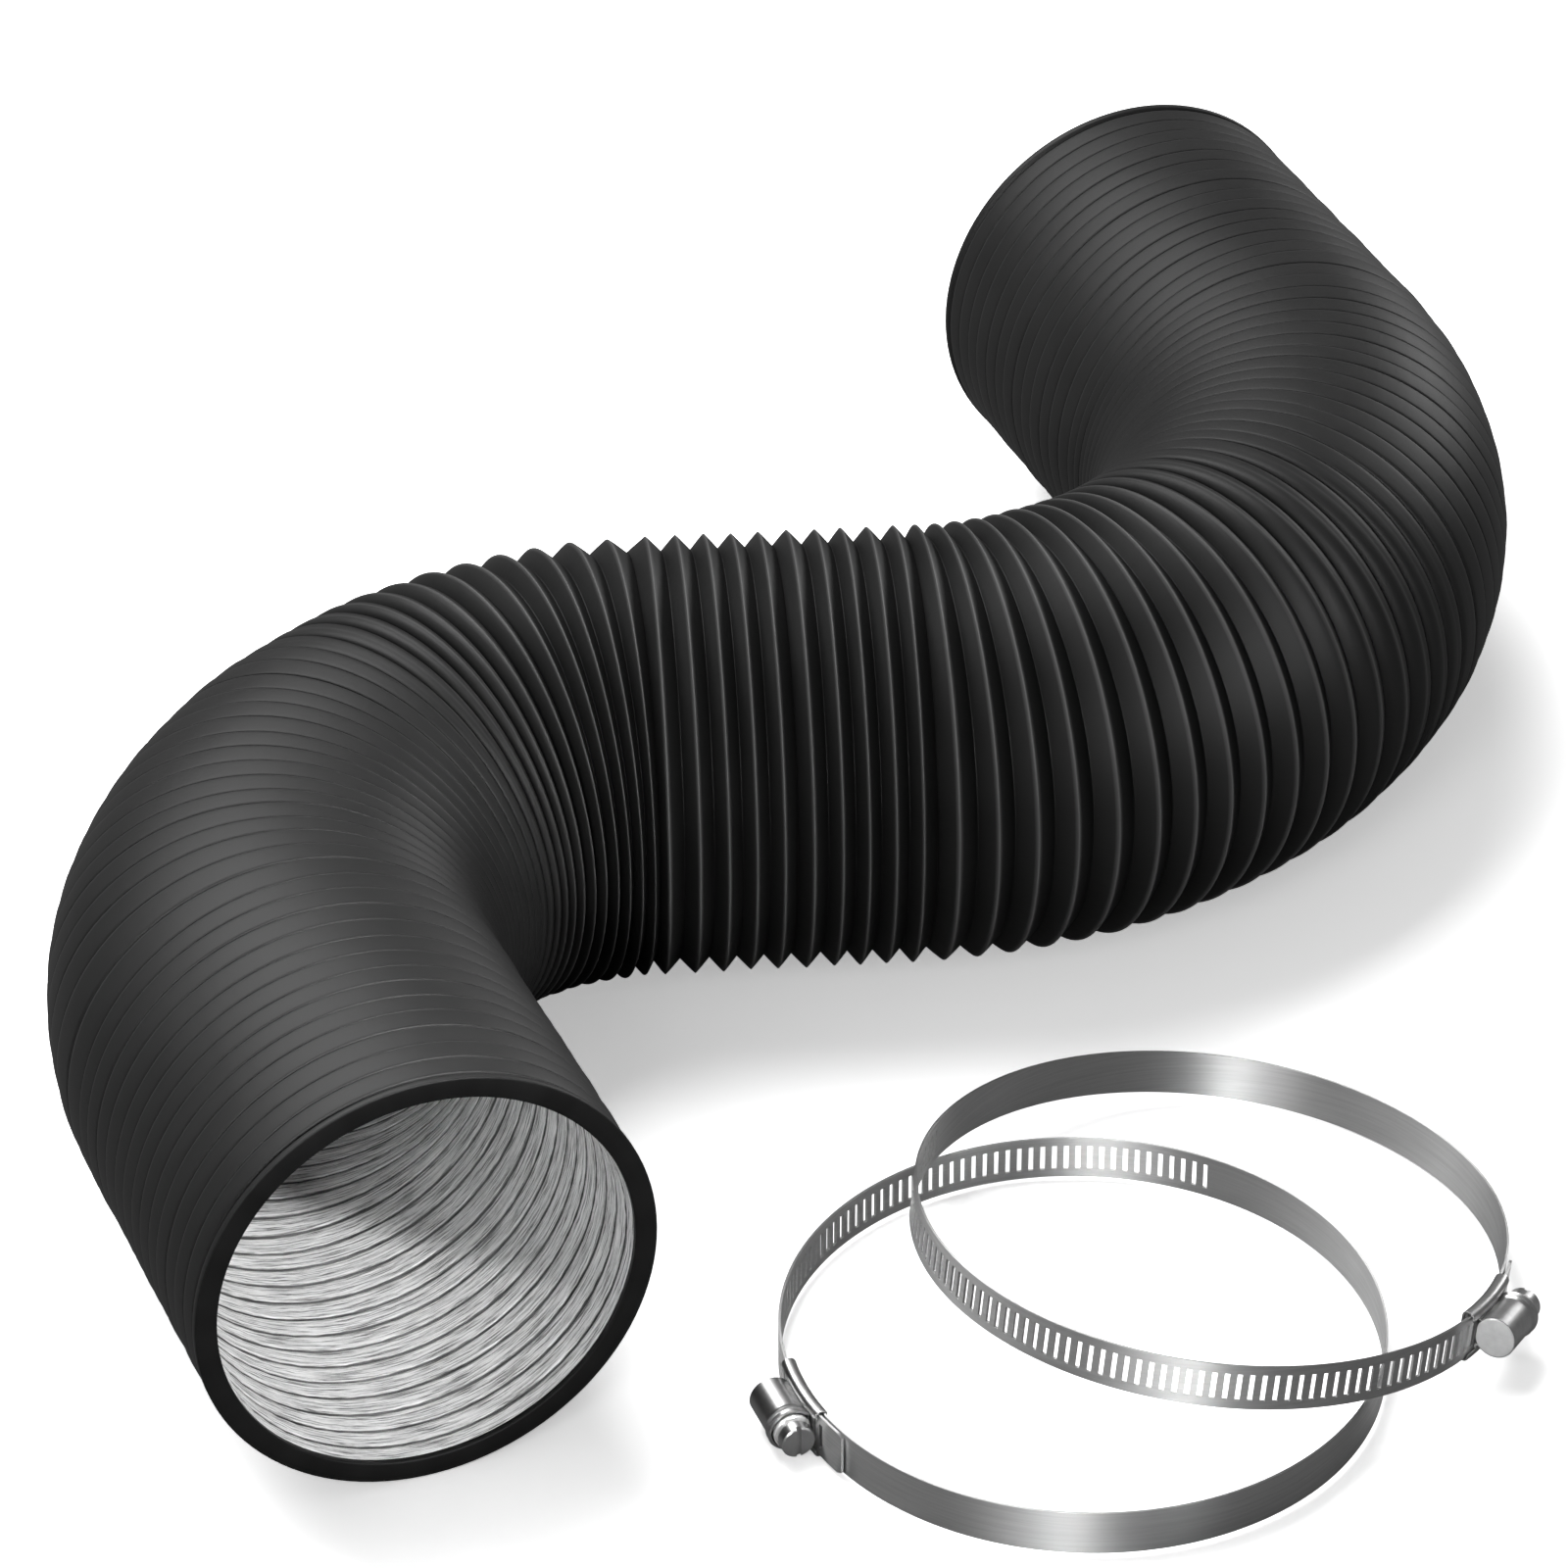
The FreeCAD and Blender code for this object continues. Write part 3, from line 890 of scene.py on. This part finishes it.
def worm(name):
    """Right-hand thread, its root sunk in the core, in the barrel."""
    turns = (2 * BARREL_HALF - 3.4) / SLOT_PITCH
    steps = int(turns * THREAD_STEPS)
    run_in = THREAD_STEPS / 2
    rows = []
    for k in range(steps + 1):
        a = 2 * math.pi * turns * k / steps
        y = 1.7 - BARREL_HALF + SLOT_PITCH * turns * k / steps
        grow = min(1.0, k / run_in, (steps - k) / run_in)
        tip = WORM_CORE + (WORM_R - WORM_CORE) * max(grow, 0.05)
        points = [(WORM_CORE - 0.3, -0.8), (tip, -0.25), (tip, 0.25), (WORM_CORE - 0.3, 0.8)]
        rows.append(np.array([[AXIS_R + r * math.sin(a), y + d, r * math.cos(a)] for r, d in points]))
    return swept(name, rows, SCREW)


def build_screw(tag, matrix):
    body = tag + "_screw"
    top = BARREL_HALF + 0.2
    profile = [(0, 1.0 - BARREL_HALF), (WORM_CORE - 0.4, 1.0 - BARREL_HALF),
               (WORM_CORE, 1.4 - BARREL_HALF), (WORM_CORE, top)]
    core = turned(tag + "_worm_core", profile, SCREW, 40)
    profile = [(2.0, top - 0.6), (4.3, top - 0.6), (4.62, top - 0.35), (4.72, top),
               (4.68, top + 0.6), (4.4, top + 0.85), (3.2, top + 0.95), (3.1, top + 2.2),
               (2.0, top + 2.2)]
    collar = turned(tag + "_collar", profile, RIMS, 56)
    thread = worm(tag + "_worm_thread")
    head = screw_head(tag + "_screw_head", y0=top + 1.9, y1=top + 5.0, radius=4.25,
                      slot=1.25, depth=0.95)
    for obj, nodes in ((core, [body]), (collar, []), (thread, []), (head, [])):
        place_mesh(obj, matrix)
        finish_piece(obj, body, nodes)


def build_clamp(tag, slots_from):
    matrix = clamp_matrix(tag)
    captive, far, tail = (f"{tag}_band_{n}" for n in ("captive", "far", "tail"))
    band_piece(tag + "_band_near_half", (CAPTIVE_FROM, BAND_MIDDLE),
               slots_from, matrix, [captive])
    band_piece(tag + "_band_tail_half", (BAND_MIDDLE, TAIL_TO),
               slots_from, matrix, [far, tail])
    build_saddle(tag, matrix)
    build_housing(tag, matrix)
    build_screw(tag, matrix)


build_clamp("clamp_a", 221.0)
build_clamp("clamp_b", 184.0)

# ---------------------------------------------------------------- camera, light, floor

CAMERA_TILT = 33.6
CAMERA_DISTANCE = 1.833
CAMERA_LENS = 153.9
AIM = Vector((-0.00815, 0.06269, 0.0))
FLOOR_HALF = 6.0
FLOOR_Z = -0.0003         # just under the pieces that lie on it


def build_camera():
    data = bpy.data.cameras.new("camera")
    data.lens = CAMERA_LENS
    data.sensor_width = 36.0
    cam = bpy.data.objects.new("camera", data)
    a = math.radians(CAMERA_TILT)
    cam.location = AIM + Vector((0, -math.cos(a), math.sin(a))) * CAMERA_DISTANCE
    cam.rotation_euler = (math.pi / 2 - a, 0, 0)
    bpy.context.scene.collection.objects.link(cam)
    bpy.context.scene.camera = cam


def hang(name, data, place, aim, lit):
    """Puts a lamp at place, turned to aim. It lights the collection lit, or everything."""
    lamp = bpy.data.objects.new(name, data)
    lamp.location = place
    lamp.rotation_euler = (Vector(aim) - Vector(place)).to_track_quat("-Z", "Y").to_euler()
    if lit is not None:
        lamp.light_linking.receiver_collection = lit
    bpy.context.scene.collection.objects.link(lamp)


def area_light(name, place, aim, size, watts, lit=None):
    data = bpy.data.lights.new(name, "AREA")
    data.shape = "RECTANGLE"
    data.size, data.size_y = size
    data.energy = watts
    hang(name, data, place, aim, lit)


def all_but(obj):
    """Light-linking collection that leaves one object out."""
    group = bpy.data.collections.new("not_" + obj.name)
    group.objects.link(obj)
    group.collection_objects[0].light_linking.link_state = "EXCLUDE"
    return group


def spot_light(name, place, aim, cone, size, watts, lit):
    """Soft-edged beam for a place that the large lights do not reach."""
    data = bpy.data.lights.new(name, "SPOT")
    data.energy = watts
    data.spot_size = math.radians(cone)
    data.spot_blend = 0.6
    data.shadow_soft_size = size
    hang(name, data, place, aim, lit)


def build_floor():
    """White to look at, but only pale grey in what the metal and the film reflect."""
    mat, nodes, links, shader = new_material("floor")
    shader.inputs["Base Color"].default_value = (1.8, 1.8, 1.8, 1)
    shader.inputs["Roughness"].default_value = 0.8
    shader.inputs["Specular IOR Level"].default_value = 0.0
    shader.inputs["Emission Color"].default_value = (1, 1, 1, 1)
    shader.inputs["Emission Strength"].default_value = 0.42
    dull = add(nodes, "ShaderNodeBsdfDiffuse", Color=(0.22, 0.22, 0.22, 1))
    seen = add(nodes, "ShaderNodeLightPath")
    mix = add(nodes, "ShaderNodeMixShader")
    links.new(seen.outputs["Is Camera Ray"], mix.inputs[0])
    links.new(dull.outputs["BSDF"], mix.inputs[1])
    links.new(shader.outputs["BSDF"], mix.inputs[2])
    links.new(mix.outputs["Shader"], nodes["Material Output"].inputs["Surface"])
    signs = ((-1, -1), (1, -1), (1, 1), (-1, 1))
    corners = [(x * FLOOR_HALF, y * FLOOR_HALF, FLOOR_Z) for x, y in signs]
    floor = make_object("floor", corners, [(0, 1, 2, 3)], mat)
    return floor


def build_world():
    world = bpy.data.worlds.new("world")
    world.use_nodes = True
    back = world.node_tree.nodes["Background"]
    back.inputs["Color"].default_value = (1, 1, 1, 1)
    back.inputs["Strength"].default_value = 0.14
    bpy.context.scene.world = world
    bpy.context.scene.view_settings.view_transform = "Standard"


build_camera()
pieces_only = all_but(build_floor())
build_world()
area_light("overhead", (-0.65, 0.6, 1.5), (0.0, 0.05, 0.0), (1.5, 1.5), 34)
area_light("front", (-0.5, -1.6, 1.0), (0.05, -0.1, 0.03), (0.5, 0.8), 5)
area_light("right", (1.3, 1.5, 0.55), (0.15, 0.15, 0.05), (0.7, 0.5), 8, pieces_only)
spot_light("mouth", (0.85, -1.25, 1.15), (-0.13, -0.2, 0.055), 7.0, 0.12, 420, pieces_only)
spot_light("clamps", (-0.1, -1.9, 0.72), (0.09, -0.17, 0.01), 9.5, 0.5, 760, pieces_only)
